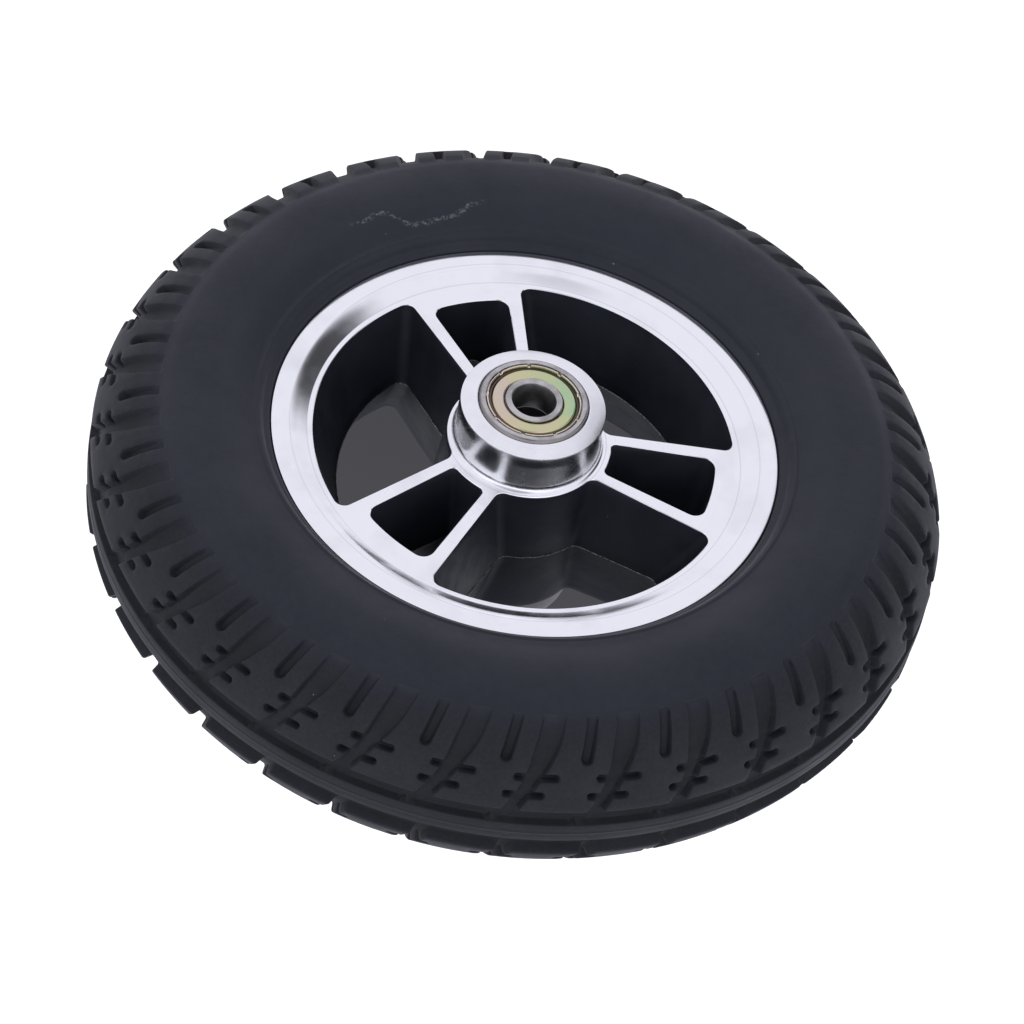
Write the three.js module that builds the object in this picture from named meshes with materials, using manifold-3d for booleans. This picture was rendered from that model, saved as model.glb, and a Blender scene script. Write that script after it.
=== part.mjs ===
// A 200 x 50 mm scooter wheel: a solid rubber tyre on a one-piece cast aluminium rim, which turns on
// two shielded 10 x 26 x 8 mm ball bearings with a spacer tube between their inner rings.
//
// Frame: millimetres. The origin is the centre of the wheel, the axle lies along Y, the front face looks
// toward -Y and +Z is up. An angle is counted from +X toward +Z, as seen from the front.
// Apart from the rim's spoke faces, the wheel is the same front and back, so a section below gives only
// its half from y = 0 upward.

import * as THREE from 'three';
import { mergeVertices } from 'three/addons/utils/BufferGeometryUtils.js';
import Module from 'manifold-3d';

// ---------------------------------------------------------------- driving dimensions

const TYRE_OUTER_RADIUS = 100;
const TYRE_WIDTH = 50;
const HUB_LENGTH = 57;
const BEARING_BORE_RADIUS = 5;
const BEARING_OUTER_RADIUS = 13;
const BEARING_WIDTH = 8;
const BEARING_PROUD = 1.5; // how far each bearing stands out of the hub
const BALL_COUNT = 7;
const BALL_RADIUS = 2.38;
const PITCH_RADIUS = 9; // circle on which the ball centres lie
const SPOKE_PAIR_ANGLES = [57, 177, 297];

const FIT_GAP = 0.3; // between the tyre and the rim
const SLIP_GAP = 0.05; // between the small fitted pieces

const WHEEL_SEGMENTS = 48;
const RING_SEGMENTS = 32;

const wasm = await Module();
wasm.setup();

// ---------------------------------------------------------------- helpers

const radians = THREE.MathUtils.degToRad;
const finish = (color, roughness, metalness) =>
  new THREE.MeshStandardMaterial({ color, roughness, metalness });

const rubber = finish(0x1d1e20, 0.85, 0);
const castAluminium = finish(0xb9bcc0, 0.35, 1);
const bearingSteel = finish(0x9b9da0, 0.25, 1);
const zincPlate = finish(0xb39a55, 0.35, 1);
const cageSteel = finish(0x8a8d90, 0.4, 1);
const plainSteel = finish(0x7d8083, 0.45, 1);

// Points [radius, y] of an arc; angles in degrees from the outward radial direction toward +y.
function arc(centreRadius, centreY, radius, from, to, steps) {
  return Array.from({ length: steps + 1 }, (_, i) => {
    const angle = radians(from + ((to - from) * i) / steps);
    return [centreRadius + radius * Math.cos(angle), centreY + radius * Math.sin(angle)];
  });
}

// A body of revolution about Y from a closed section, which runs counter-clockwise in (radius, y).
function revolve(section, segments) {
  const points = [...section, section[0]].map(([radius, y]) => new THREE.Vector2(radius, y));
  return new THREE.LatheGeometry(points, segments);
}

// A whole section from two half sections, each from the outer point at y = 0 round to the inner point
// at y = 0. Both are written with y upward, and the front one is turned over.
function joined(rearHalf, frontHalf) {
  const front = frontHalf.slice(1, -1).map(([radius, y]) => [radius, -y]);
  return [...rearHalf, ...front.reverse()];
}

const mirrored = (half) => joined(half, half);

function toSolid(geometry) {
  const bare = geometry.clone();
  bare.deleteAttribute('normal');
  bare.deleteAttribute('uv');
  const merged = mergeVertices(bare);
  return new wasm.Manifold(new wasm.Mesh({
    numProp: 3,
    vertProperties: new Float32Array(merged.attributes.position.array),
    triVerts: new Uint32Array(merged.index.array),
  }));
}

function toGeometry(solid) {
  const mesh = solid.getMesh();
  const geometry = new THREE.BufferGeometry();
  geometry.setAttribute('position', new THREE.BufferAttribute(mesh.vertProperties, 3));
  geometry.setIndex(new THREE.BufferAttribute(mesh.triVerts, 1));
  geometry.computeVertexNormals();
  return geometry;
}

// A closed skin through rings of points that all have the same count. With caps the first and last
// rings are filled; without, the last ring joins the first.
function skin(rings, capped) {
  const count = rings[0].length;
  const positions = rings.flat().flatMap((point) => point.toArray());
  const index = [];
  const last = capped ? rings.length - 1 : rings.length;
  for (let i = 0; i < last; i += 1) {
    const here = i * count;
    const next = ((i + 1) % rings.length) * count;
    for (let j = 0; j < count; j += 1) {
      const k = (j + 1) % count;
      index.push(here + j, here + k, next + k, here + j, next + k, next + j);
    }
  }
  if (capped) {
    const flat = rings[0].map((point) => new THREE.Vector2(point.x, point.z));
    const end = (rings.length - 1) * count;
    for (const [a, b, c] of THREE.ShapeUtils.triangulateShape(flat, [])) {
      index.push(a, b, c, end + a, end + c, end + b);
    }
  }
  const geometry = new THREE.BufferGeometry();
  geometry.setAttribute('position', new THREE.Float32BufferAttribute(positions, 3));
  geometry.setIndex(index);
  geometry.computeVertexNormals();
  return geometry;
}

const wheel = new THREE.Group();

function addPiece(parent, name, geometry, material) {
  const mesh = new THREE.Mesh(geometry, material);
  mesh.name = name;
  parent.add(mesh);
  return mesh;
}

// ---------------------------------------------------------------- rim

const HUB_HALF = HUB_LENGTH / 2;
const HUB_OUTER_RADIUS = 16.65;
const HUB_RING_RADIUS = 18.4; // ring that the spokes grow from
const HUB_RING_RISE = 1.85; // how far the ring stands above the outer ends of the spokes
const HUB_FILLET = 1.75;
const HUB_BORE_RADIUS = 11;
const SEAT_RADIUS = BEARING_OUTER_RADIUS + SLIP_GAP;
const SEAT_Y = HUB_HALF + BEARING_PROUD - BEARING_WIDTH; // shoulder that stops the bearing
const SPOKE_FACE_RADIUS = 49.9; // where the spoke face meets the cone of the lip
const FRONT_FACE_Y = 15.5; // how far the outer ends of the spokes are from the middle plane
const REAR_FACE_Y = 20;
const LIP_INNER_RADIUS = 54.1;
const LIP_OUTER_RADIUS = 58.4;
const LIP_Y = 17.6;
const FLANGE_THICKNESS = 3;
const BEAD_RADIUS = 51;
const BEAD_OUTER_Y = 13.6;
const BEAD_INNER_Y = 8.5;
const DROP_RADIUS = 46; // floor of the barrel under the middle of the tyre
const DROP_Y = 4;

function rimHalf(faceY) {
  const chamfer = 0.5;
  const ringY = faceY + HUB_RING_RISE;
  return [
    [DROP_RADIUS, 0],
    [DROP_RADIUS, DROP_Y],
    [BEAD_RADIUS - 0.7, BEAD_INNER_Y],
    [BEAD_RADIUS, BEAD_OUTER_Y],
    [BEAD_RADIUS + 1.2, LIP_Y - FLANGE_THICKNESS],
    [LIP_OUTER_RADIUS, LIP_Y - FLANGE_THICKNESS],
    [LIP_OUTER_RADIUS, LIP_Y],
    [LIP_INNER_RADIUS, LIP_Y],
    [SPOKE_FACE_RADIUS, faceY],
    [HUB_RING_RADIUS, ringY],
    ...arc(HUB_RING_RADIUS, ringY + HUB_FILLET, HUB_FILLET, 240, 180, 2),
    [HUB_OUTER_RADIUS, HUB_HALF - chamfer],
    [HUB_OUTER_RADIUS - chamfer, HUB_HALF],
    [SEAT_RADIUS, HUB_HALF],
    [SEAT_RADIUS, SEAT_Y],
    [HUB_BORE_RADIUS, SEAT_Y],
    [HUB_BORE_RADIUS, 0],
  ];
}

const rimSection = () => joined(rimHalf(REAR_FACE_Y), rimHalf(FRONT_FACE_Y));

// Half outline of a window, on the side of its own +t, in the plane (s along its middle, t across).
// The side runs `slope` degrees from the middle line and passes the wheel's centre at `offset` on the
// far side; inner and outer arcs are centred on the wheel, and both corners are rounded.
function windowHalf({ slope, offset, inner, outer, innerFillet, outerFillet }) {
  const along = new THREE.Vector2(Math.cos(radians(slope)), Math.sin(radians(slope)));
  const across = new THREE.Vector2(-along.y, along.x);
  const corner = (arcRadius, fillet, sense) => {
    const reach = arcRadius + sense * fillet;
    const side = offset - fillet;
    const depth = Math.sqrt(reach * reach - side * side);
    const centre = along.clone().multiplyScalar(depth).addScaledVector(across, side);
    const onSide = centre.clone().addScaledVector(across, fillet);
    const onArc = centre.clone().multiplyScalar(arcRadius / reach);
    const middle = onSide.clone().add(onArc).multiplyScalar(0.5).sub(centre);
    const crown = centre.clone().addScaledVector(middle.normalize(), fillet);
    return { onSide, crown, onArc };
  };
  const low = corner(inner, innerFillet, 1);
  const high = corner(outer, outerFillet, -1);
  const sweep = (radius, from, to, steps) => Array.from({ length: steps }, (_, i) => {
    const angle = from + ((to - from) * i) / steps;
    return new THREE.Vector2(radius * Math.cos(angle), radius * Math.sin(angle));
  });
  return [
    ...sweep(inner, 0, low.onArc.angle(), 2),
    low.onArc, low.crown, low.onSide,
    high.onSide, high.crown, high.onArc,
    ...sweep(outer, 0, high.onArc.angle(), 3).reverse(),
  ];
}

// Every window narrows from both faces toward the plane where the two dies of the casting meet.
const DRAFT_SIDE = 3.6;
const DRAFT_HUB = 1.4;
const BARREL_MIDDLE_RADIUS = 41.5;
const PARTING_Y = 2;
const FRONT_FULL_Y = -15.6; // where a window has its full size
const REAR_FULL_Y = 20.1;
const OVERRUN = 3.4; // how far the cutter runs on past there

function windowCutter(shape, angle) {
  const level = (y) => {
    const full = y < PARTING_Y ? FRONT_FULL_Y : REAR_FULL_Y;
    const open = (y - PARTING_Y) / (full - PARTING_Y); // 0 in the parting plane, 1 at full size
    const drafted = {
      ...shape,
      offset: shape.offset - DRAFT_SIDE * (1 - open),
      inner: shape.inner + DRAFT_HUB * (1 - open),
      outer: BARREL_MIDDLE_RADIUS + (shape.outer - BARREL_MIDDLE_RADIUS) * open,
    };
    const half = windowHalf(drafted);
    const other = half.slice(1, -1).reverse().map((point) => new THREE.Vector2(point.x, -point.y));
    const turn = radians(angle);
    return [...half, ...other].map((point) => {
      const turned = point.clone().rotateAround(new THREE.Vector2(), turn);
      return new THREE.Vector3(turned.x, y, turned.y);
    });
  };
  return toSolid(skin([
    level(FRONT_FULL_Y - OVERRUN), level(PARTING_Y), level(REAR_FULL_Y + OVERRUN),
  ], true));
}

const narrowWindow = {
  slope: 12, offset: 0.28, inner: 19.8, outer: 44.1, innerFillet: 1.3, outerFillet: 2.8,
};
const wideWindow = {
  slope: 48, offset: -3.64, inner: 18.4, outer: 48.8, innerFillet: 2.4, outerFillet: 2.4,
};

function makeRim() {
  let rim = toSolid(revolve(rimSection(), WHEEL_SEGMENTS));
  for (const angle of SPOKE_PAIR_ANGLES) {
    rim = rim.subtract(windowCutter(narrowWindow, angle));
    rim = rim.subtract(windowCutter(wideWindow, angle + 60));
  }
  return toGeometry(rim);
}

addPiece(wheel, 'rim', makeRim(), castAluminium);

// ---------------------------------------------------------------- tyre

const TUBE_RADIUS = TYRE_WIDTH / 2; // the tyre's section is nearly a circle
const TUBE_CENTRE = TYRE_OUTER_RADIUS - TUBE_RADIUS;
const CROWN_RIB_HALF = 2.8;
const CROWN_RIB_RADIUS = 98.5;
const GROOVE_FLOOR_RADIUS = 96.8;
const TREAD_START = 17.5; // degrees round the section, crown groove to first blocks
const TREAD_END = 62; // the outer ends of the blocks
const SIDE_START = 71;
const BLOCK_STEP = 2.1; // how far the blocks stand off the side wall
const SIDE_END_RADIUS = 60.3;
const SIDE_END = THREE.MathUtils.radToDeg(Math.acos((SIDE_END_RADIUS - TUBE_CENTRE) / TUBE_RADIUS));

function tyreSection() {
  const tread = arc(TUBE_CENTRE, 0, TUBE_RADIUS, TREAD_START, TREAD_END, 3);
  const [treadEndRadius, treadEndY] = tread[tread.length - 1];
  return mirrored([
    [CROWN_RIB_RADIUS, 0],
    [CROWN_RIB_RADIUS, CROWN_RIB_HALF],
    [GROOVE_FLOOR_RADIUS, CROWN_RIB_HALF + 0.6],
    [GROOVE_FLOOR_RADIUS - 0.5, tread[0][1] - 0.4],
    ...tread,
    [treadEndRadius - BLOCK_STEP, treadEndY + 0.1],
    ...arc(TUBE_CENTRE, 0, TUBE_RADIUS, SIDE_START, SIDE_END, 4),
    [SIDE_END_RADIUS - 0.9, LIP_Y - 0.2],
    [LIP_OUTER_RADIUS + FIT_GAP, LIP_Y - 0.8],
    [LIP_OUTER_RADIUS + FIT_GAP, LIP_Y - FLANGE_THICKNESS - FIT_GAP],
    [BEAD_RADIUS + 1.4, LIP_Y - FLANGE_THICKNESS - FIT_GAP],
    [BEAD_RADIUS + FIT_GAP + 0.1, BEAD_OUTER_Y],
    [BEAD_RADIUS - 0.7 + FIT_GAP, BEAD_INNER_Y],
    [DROP_RADIUS + FIT_GAP, DROP_Y - 0.2],
    [DROP_RADIUS + FIT_GAP, 0],
  ]);
}

addPiece(wheel, 'tyre', revolve(tyreSection(), WHEEL_SEGMENTS), rubber);

// ---------------------------------------------------------------- bearings

const BEARING_CENTRE_Y = HUB_HALF + BEARING_PROUD - BEARING_WIDTH / 2;
const BEARING_HALF = BEARING_WIDTH / 2;
const RACE_RADIUS = BALL_RADIUS + 0.1; // radius of the grooves that the balls run in
const INNER_LAND_RADIUS = 7.4;
const INNER_STEP_RADIUS = 6.9; // the inner ring is stepped where the shield comes close
const OUTER_LAND_RADIUS = 10.6;
const OUTER_STEP_RADIUS = 11.2; // the outer ring is stepped to hold the shield
const STEP_Y = 3.1;

// Degrees at which a race groove, seen from the ball's centre, runs out into the land.
const groove = (landRadius) =>
  THREE.MathUtils.radToDeg(Math.acos(Math.abs(PITCH_RADIUS - landRadius) / RACE_RADIUS));

function outerRingSection() {
  const mouth = groove(OUTER_LAND_RADIUS);
  const half = [
    [BEARING_OUTER_RADIUS, 0],
    [BEARING_OUTER_RADIUS, BEARING_HALF],
    [OUTER_STEP_RADIUS, BEARING_HALF],
    [OUTER_STEP_RADIUS, STEP_Y],
    [OUTER_LAND_RADIUS, STEP_Y],
    ...arc(PITCH_RADIUS, 0, RACE_RADIUS, mouth, 0, 2),
  ];
  half[half.length - 1][1] = 0;
  return mirrored(half);
}

function innerRingSection() {
  const mouth = groove(INNER_LAND_RADIUS);
  const half = [
    ...arc(PITCH_RADIUS, 0, RACE_RADIUS, 180, 180 - mouth, 2),
    [INNER_LAND_RADIUS, STEP_Y],
    [INNER_STEP_RADIUS, STEP_Y],
    [INNER_STEP_RADIUS, BEARING_HALF],
    [BEARING_BORE_RADIUS, BEARING_HALF],
    [BEARING_BORE_RADIUS, 0],
  ];
  half[0][1] = 0;
  return mirrored(half);
}

const SHIELD_INNER_RADIUS = 7.1;
const SHIELD_THICKNESS = 0.35;

function shieldSection() {
  const outer = OUTER_STEP_RADIUS - SLIP_GAP;
  const low = STEP_Y + SLIP_GAP;
  const high = low + SHIELD_THICKNESS;
  return [[SHIELD_INNER_RADIUS, low], [outer, low], [outer, high], [SHIELD_INNER_RADIUS, high]];
}

// One pressed half of the ball cage: a flat ribbon that rises over each ball in a half-round pocket.
const CAGE_HALF_WIDTH = 0.8;
const CAGE_THICKNESS = 0.35;
const CAGE_LIFT = 0.04;
const POCKET_RADIUS = BALL_RADIUS + 0.14;
const BALL_STEP = 360 / BALL_COUNT;
const RIVET_RADIUS = 0.35;
const RIVET_HOLE_RADIUS = 0.42;
const RIVET_SIDES = 6;

function cageHalf() {
  const outerPocket = POCKET_RADIUS + CAGE_THICKNESS;
  const top = CAGE_LIFT + CAGE_THICKNESS;
  const under = Math.asin(CAGE_LIFT / POCKET_RADIUS);
  const over = Math.asin(top / outerPocket);
  const pocketSteps = 6;
  const rings = [];
  const addRing = (degrees, lowShift, lowY, highShift, highY) => {
    const place = (radius, shift, y) => {
      const angle = radians(degrees) + shift / PITCH_RADIUS;
      return new THREE.Vector3(radius * Math.cos(angle), y, radius * Math.sin(angle));
    };
    const near = PITCH_RADIUS - CAGE_HALF_WIDTH;
    const far = PITCH_RADIUS + CAGE_HALF_WIDTH;
    rings.push([
      place(near, lowShift, lowY), place(far, lowShift, lowY),
      place(far, highShift, highY), place(near, highShift, highY),
    ]);
  };
  for (let ball = 0; ball < BALL_COUNT; ball += 1) {
    const centre = ball * BALL_STEP;
    addRing(centre - BALL_STEP / 2, 0, CAGE_LIFT, 0, top);
    for (let step = 0; step <= pocketSteps; step += 1) {
      const low = under + ((Math.PI - 2 * under) * step) / pocketSteps;
      const high = over + ((Math.PI - 2 * over) * step) / pocketSteps;
      addRing(
        centre,
        -POCKET_RADIUS * Math.cos(low), POCKET_RADIUS * Math.sin(low),
        -outerPocket * Math.cos(high), outerPocket * Math.sin(high),
      );
    }
  }
  let cage = toSolid(skin(rings, false));
  for (let gap = 0; gap < BALL_COUNT; gap += 1) {
    const hole = new THREE.CylinderGeometry(RIVET_HOLE_RADIUS, RIVET_HOLE_RADIUS, 2, RIVET_SIDES);
    placeRivet(hole, gap);
    cage = cage.subtract(toSolid(hole));
  }
  return toGeometry(cage);
}

function placeRivet(geometry, gap) {
  const angle = radians((gap + 0.5) * BALL_STEP);
  geometry.translate(PITCH_RADIUS, 0, 0);
  geometry.rotateY(-angle);
  return geometry;
}

function rivet(gap) {
  const headRadius = 0.68;
  const headLow = CAGE_LIFT + CAGE_THICKNESS + SLIP_GAP;
  const headHigh = headLow + 0.3;
  const profile = [
    [0, -headHigh], [headRadius, -headLow], [RIVET_RADIUS, -headLow],
    [RIVET_RADIUS, headLow], [headRadius, headLow], [0, headHigh],
  ].map(([radius, y]) => new THREE.Vector2(radius, y));
  return placeRivet(new THREE.LatheGeometry(profile, RIVET_SIDES), gap);
}

function ball(number) {
  const angle = radians(number * BALL_STEP);
  const geometry = new THREE.IcosahedronGeometry(BALL_RADIUS, 1);
  return geometry.translate(PITCH_RADIUS * Math.cos(angle), 0, PITCH_RADIUS * Math.sin(angle));
}

// A bearing is built round its own middle with its outward side toward +Y, and turned to face forward.
function addBearing(side, centreY, turn) {
  const bearing = new THREE.Group();
  bearing.position.y = centreY;
  bearing.rotation.z = turn;
  const shield = revolve(shieldSection(), RING_SEGMENTS);
  const cage = cageHalf();
  const flipped = (geometry) => geometry.clone().rotateX(Math.PI);
  addPiece(bearing, `${side}_outer_ring`, revolve(outerRingSection(), RING_SEGMENTS), bearingSteel);
  addPiece(bearing, `${side}_inner_ring`, revolve(innerRingSection(), RING_SEGMENTS), bearingSteel);
  addPiece(bearing, `${side}_shield_outside`, shield, zincPlate);
  addPiece(bearing, `${side}_shield_inside`, flipped(shield), zincPlate);
  addPiece(bearing, `${side}_cage_half_outside`, cage, cageSteel);
  addPiece(bearing, `${side}_cage_half_inside`, flipped(cage), cageSteel);
  for (let number = 0; number < BALL_COUNT; number += 1) {
    addPiece(bearing, `${side}_ball_${number + 1}`, ball(number), bearingSteel);
    addPiece(bearing, `${side}_rivet_${number + 1}`, rivet(number), plainSteel);
  }
  wheel.add(bearing);
}

addBearing('front', -BEARING_CENTRE_Y, Math.PI);
addBearing('rear', BEARING_CENTRE_Y, 0);

// ---------------------------------------------------------------- spacer between the inner rings

const SPACER_OUTER_RADIUS = 7;
const SPACER_BORE_RADIUS = 5.1;

const SPACER_HALF = SEAT_Y - SLIP_GAP;

addPiece(wheel, 'spacer_tube', revolve([
  [SPACER_OUTER_RADIUS, -SPACER_HALF],
  [SPACER_OUTER_RADIUS, SPACER_HALF],
  [SPACER_BORE_RADIUS, SPACER_HALF],
  [SPACER_BORE_RADIUS, -SPACER_HALF],
], RING_SEGMENTS), plainSteel);

export default wheel;
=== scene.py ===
"""The looks of a 200 x 50 mm scooter wheel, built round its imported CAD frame.

The axle lies along Y and the front face looks toward -Y. A point is often given as (radius, turn,
height): turn is counted from +X toward +Z, as seen from the front, and height is the distance from the
wheel's middle plane toward the front, so it is -Y. Lengths are in millimetres until a mesh is made.
"""
import math
from itertools import product

import bmesh
import bpy
import numpy as np
from mathutils import Matrix, Vector
from mathutils.geometry import delaunay_2d_cdt


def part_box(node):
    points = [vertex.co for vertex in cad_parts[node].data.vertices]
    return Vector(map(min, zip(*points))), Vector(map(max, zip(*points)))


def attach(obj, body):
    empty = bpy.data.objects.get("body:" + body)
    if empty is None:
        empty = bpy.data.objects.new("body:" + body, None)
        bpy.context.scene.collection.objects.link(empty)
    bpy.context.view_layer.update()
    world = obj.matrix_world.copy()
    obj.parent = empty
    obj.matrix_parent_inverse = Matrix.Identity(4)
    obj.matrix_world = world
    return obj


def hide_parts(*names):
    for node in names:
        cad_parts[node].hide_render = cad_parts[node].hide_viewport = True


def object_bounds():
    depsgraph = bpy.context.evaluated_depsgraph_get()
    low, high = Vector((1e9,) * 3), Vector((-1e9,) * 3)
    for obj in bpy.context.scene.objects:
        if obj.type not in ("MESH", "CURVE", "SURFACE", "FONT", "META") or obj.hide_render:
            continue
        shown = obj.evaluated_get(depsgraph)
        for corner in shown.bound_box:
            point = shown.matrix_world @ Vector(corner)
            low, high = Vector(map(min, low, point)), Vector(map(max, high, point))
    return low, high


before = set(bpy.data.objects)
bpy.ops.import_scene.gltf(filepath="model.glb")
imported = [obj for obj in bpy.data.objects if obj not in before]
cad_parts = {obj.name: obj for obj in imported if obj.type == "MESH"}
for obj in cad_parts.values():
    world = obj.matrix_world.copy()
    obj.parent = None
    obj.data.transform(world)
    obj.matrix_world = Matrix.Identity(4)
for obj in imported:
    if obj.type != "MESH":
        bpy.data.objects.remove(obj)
cad_low, cad_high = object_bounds()

MM = 0.001


# ------- sizes read from the frame

def radius_of(node):
    """The outer radius of a CAD node, in millimetres."""
    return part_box(node)[1].x / MM


def height_of(node):
    """How far a CAD node reaches toward the front, in millimetres."""
    return -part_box(node)[0].y / MM


LIP_OUTER = radius_of("rim")
LIP_HEIGHT = max(-vertex.co.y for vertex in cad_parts["rim"].data.vertices
                 if math.hypot(vertex.co.x, vertex.co.z) > 57 * MM) / MM
HUB_HALF = height_of("rim")
BEARING_OUTER = radius_of("front_outer_ring")
BEARING_FACE = height_of("front_outer_ring")
BEARING_WIDTH = (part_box("front_outer_ring")[1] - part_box("front_outer_ring")[0]).y / MM
BEARING_MIDDLE = BEARING_FACE - BEARING_WIDTH / 2
SPACER_OUTER = radius_of("spacer_tube")
FLOOR_Z = cad_low.z

TUBE = height_of("tyre")  # radius of the tyre's nearly round section
RING = 3 * TUBE  # radius of the circle that its centre lies on: a 4 to 1 tyre

FULL_TURN = 2 * math.pi


# ------- mesh helpers

def place(radius, turn, height):
    """Row frame coordinates, in metres, of points given as radius, turn (radians) and height."""
    radius, turn, height = np.broadcast_arrays(radius, turn, height)
    return np.stack([radius * np.cos(turn), -height, radius * np.sin(turn)], axis=-1) * MM


def in_scene(name, data):
    """A new object for this mesh, lamp or camera, linked to the scene."""
    thing = bpy.data.objects.new(name, data)
    bpy.context.scene.collection.objects.link(thing)
    return thing


def new_piece(name, points, faces, materials, kinds=None, sharp=None):
    """A smooth shaded mesh object; kinds gives each face's place in the list of materials."""
    mesh = bpy.data.meshes.new(name)
    mesh.from_pydata([tuple(p) for p in points], [], [tuple(f) for f in faces])
    for material in materials:
        mesh.materials.append(material)
    if kinds is not None:
        mesh.polygons.foreach_set("material_index", np.asarray(kinds, dtype=np.int32))
    maker = bmesh.new()
    maker.from_mesh(mesh)
    loose = [vertex for vertex in maker.verts if not vertex.link_faces]
    bmesh.ops.delete(maker, geom=loose, context="VERTS")
    bmesh.ops.recalc_face_normals(maker, faces=maker.faces)
    maker.to_mesh(mesh)
    maker.free()
    mesh.shade_smooth()
    if sharp is not None:
        mesh.set_sharp_from_angle(angle=sharp)
    return in_scene(name, mesh)


class Shell:
    """Points and faces gathered from several surfaces, whose shared borders are joined at the end."""

    def __init__(self):
        self.points = []
        self.faces = []
        self.kinds = []
        self.count = 0

    def add(self, points, faces, kind=0):
        self.points.append(np.asarray(points, dtype=float).reshape(-1, 3))
        self.faces.extend(tuple(int(i) + self.count for i in face) for face in faces)
        self.kinds.extend([kind] * len(faces))
        self.count += len(self.points[-1])

    def strip(self, rows, kind=0):
        """Quads between closed rows of points that all have the same count."""
        rows = np.asarray(rows, dtype=float)
        height, width = rows.shape[:2]
        faces = []
        for low in range(0, (height - 1) * width, width):
            high = low + width
            for i in range(width):
                k = (i + 1) % width
                faces.append((low + i, low + k, high + k, high + i))
        self.add(rows.reshape(-1, 3), faces, kind)

    def joined(self, tolerance=0.002 * MM):
        """The points with near twins merged, and the faces and kinds that are left."""
        points = np.concatenate(self.points)
        keys = np.round(points / tolerance).astype(np.int64)
        order = {}
        index = np.empty(len(points), dtype=np.int64)
        kept = []
        for i, key in enumerate(map(tuple, keys)):
            found = order.get(key)
            if found is None:
                found = len(kept)
                kept.append(i)
                for near in product(*[(k - 1, k, k + 1) for k in key]):
                    order.setdefault(near, found)
            index[i] = found
        faces, kinds = [], []
        for face, kind in zip(self.faces, self.kinds):
            ring = [int(index[i]) for i in face]
            ring = [v for n, v in enumerate(ring) if v != ring[n - 1]]
            if len(set(ring)) > 2:
                faces.append(ring)
                kinds.append(kind)
        return points[kept], faces, kinds


def lathe_rows(section, turns):
    """Rows of points for a body of revolution: one row for each (radius, height) of the section."""
    return [place(r, turns, h) for r, h in section]


def even_turns(count, start=0.0):
    return start + np.arange(count) * FULL_TURN / count


def arc(centre_r, centre_h, radius, start, end, steps):
    """(radius, height) points of a round stretch; degrees from outward toward the front."""
    angles = np.radians(np.linspace(start, end, steps + 1))
    return [(centre_r + radius * math.cos(t), centre_h + radius * math.sin(t)) for t in angles]


def rounded(corners, cut, steps=3):
    """A closed section whose corners are rounded from a distance of cut on."""
    result = []
    corners = [Vector(corner) for corner in corners]
    for i, here in enumerate(corners):
        start = here + (corners[i - 1] - here).normalized() * cut
        end = here + (corners[(i + 1) % len(corners)] - here).normalized() * cut
        for step in range(steps + 1):
            t = step / steps
            point = start * (1 - t) ** 2 + here * 2 * t * (1 - t) + end * t ** 2
            result.append((point.x, point.y))
    return result


def mirrored(half):
    """A half section from the outer point at height 0 to the inner one, made whole and closed."""
    return list(half) + [(r, -h) for r, h in reversed(half[1:-1])]


def closed_piece(name, rows, material, outward=1, sharp=35):
    """A piece whose last row meets its first; outward -1 mirrors it from front to rear."""
    shell = Shell()
    shell.strip(rows)
    points, faces, _ = shell.joined()
    return new_piece(name, points * (1, outward, 1), faces, [material], sharp=math.radians(sharp))


def revolve(name, section, material, count):
    """A closed section of (radius, height) points, turned about the axle."""
    return closed_piece(name, lathe_rows(section + section[:1], even_turns(count)), material)


# ------- material helpers

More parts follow.
